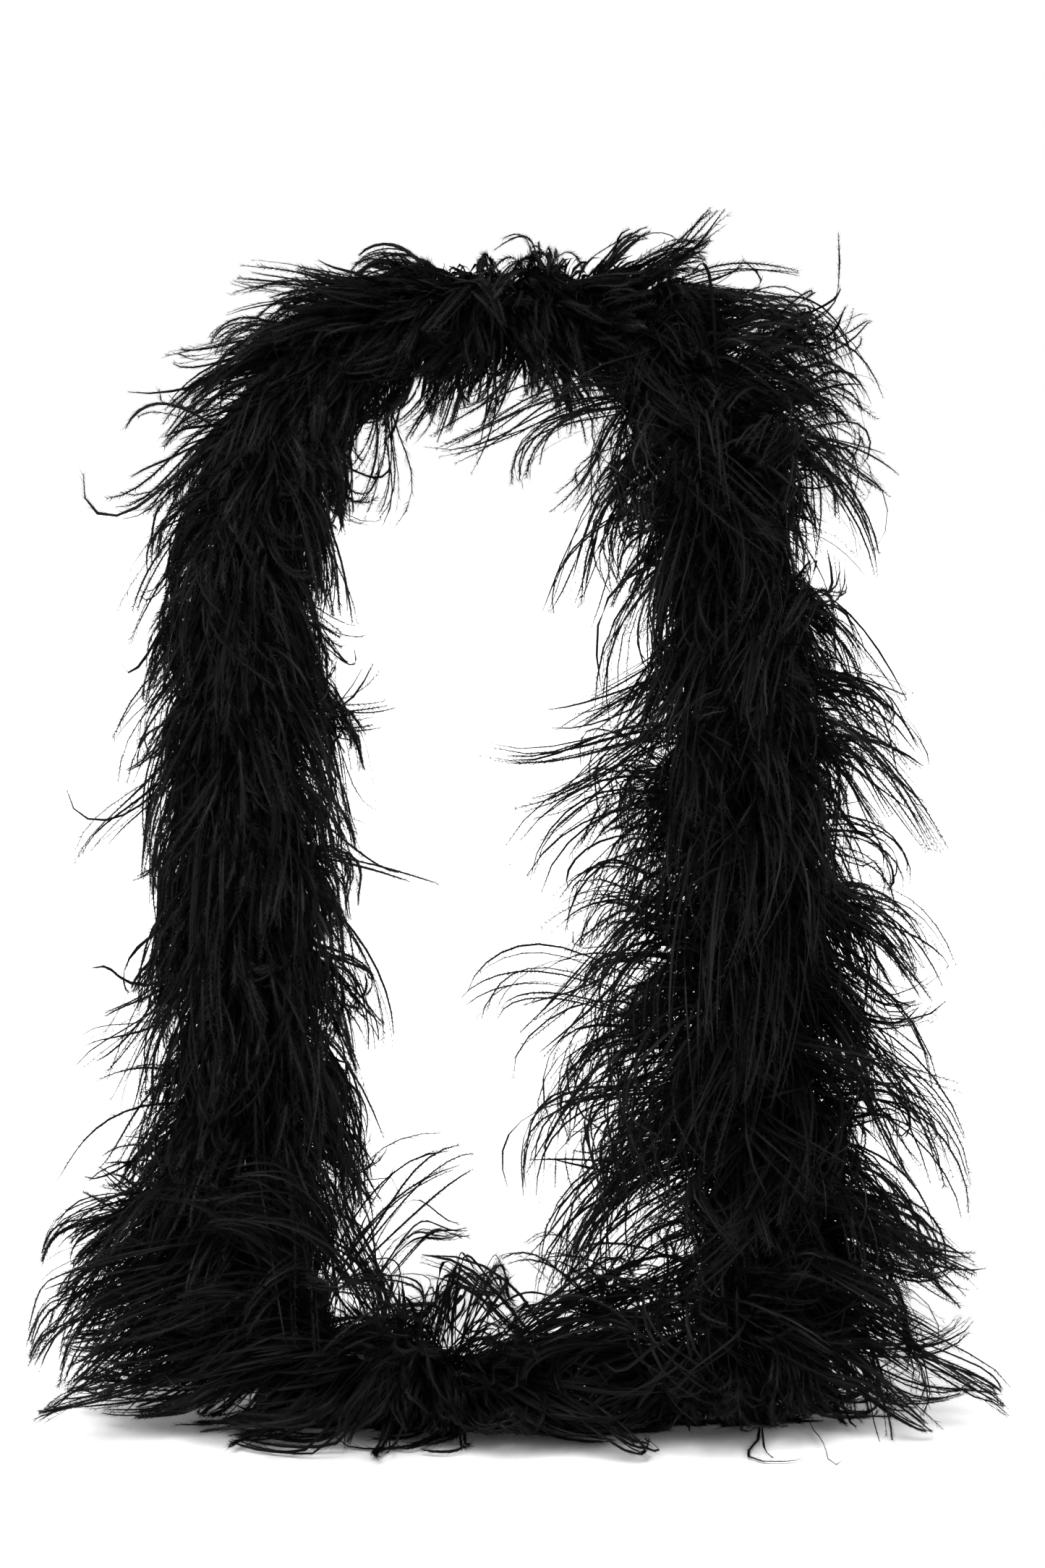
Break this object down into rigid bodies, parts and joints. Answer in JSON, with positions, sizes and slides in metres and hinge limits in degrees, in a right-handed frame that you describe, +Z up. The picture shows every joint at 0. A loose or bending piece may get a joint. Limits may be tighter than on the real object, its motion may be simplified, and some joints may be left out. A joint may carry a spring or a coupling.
{
  "type": "feather boa",
  "caption": "Fluffy black ostrich feather boa, draped behind a neck, with both runs hanging down the front and the two ends lying together on the table.",
  "frame": {"origin": "the point behind the neck where the nape bears on the front of the boa", "axes": "+X to the wearer's left, +Y behind the wearer, +Z up"},
  "size_m": [0.5396, 0.2992, 0.731],
  "materials": {
    "flues": "dyed black ostrich flues, soft and matt with fine glints",
    "quill": "pared quill, dyed black, slightly glossy horn",
    "cord": "twisted black cotton cord, matt",
    "thread": "black sewing thread, slightly waxed"
  },
  "bodies": {
    "root": {"core_cord": "cord", "plume_01": "flues", "quill_strips_01": "quill", "plume_02": "flues", "quill_strips_02": "quill", "plume_03": "flues", "quill_strips_03": "quill", "plume_04": "flues", "quill_strips_04": "quill", "plume_05": "flues", "quill_strips_05": "quill", "plume_06": "flues", "quill_strips_06": "quill", "plume_07": "flues", "quill_strips_07": "quill", "plume_08": "flues", "quill_strips_08": "quill", "plume_09": "flues", "quill_strips_09": "quill", "plume_10": "flues", "quill_strips_10": "quill", "plume_11": "flues", "quill_strips_11": "quill", "plume_12": "flues", "quill_strips_12": "quill", "plume_13": "flues", "quill_strips_13": "quill", "plume_14": "flues", "quill_strips_14": "quill", "lap_wrap_01": "thread", "lap_wrap_02": "thread", "lap_wrap_03": "thread", "lap_wrap_04": "thread", "lap_wrap_05": "thread", "lap_wrap_06": "thread", "lap_wrap_07": "thread", "lap_wrap_08": "thread", "lap_wrap_09": "thread", "lap_wrap_10": "thread", "lap_wrap_11": "thread", "lap_wrap_12": "thread", "lap_wrap_13": "thread", "end_loop_right": "cord", "end_whipping_right": "thread", "end_loop_left": "cord", "end_whipping_left": "thread"}
  },
  "joints": []
}
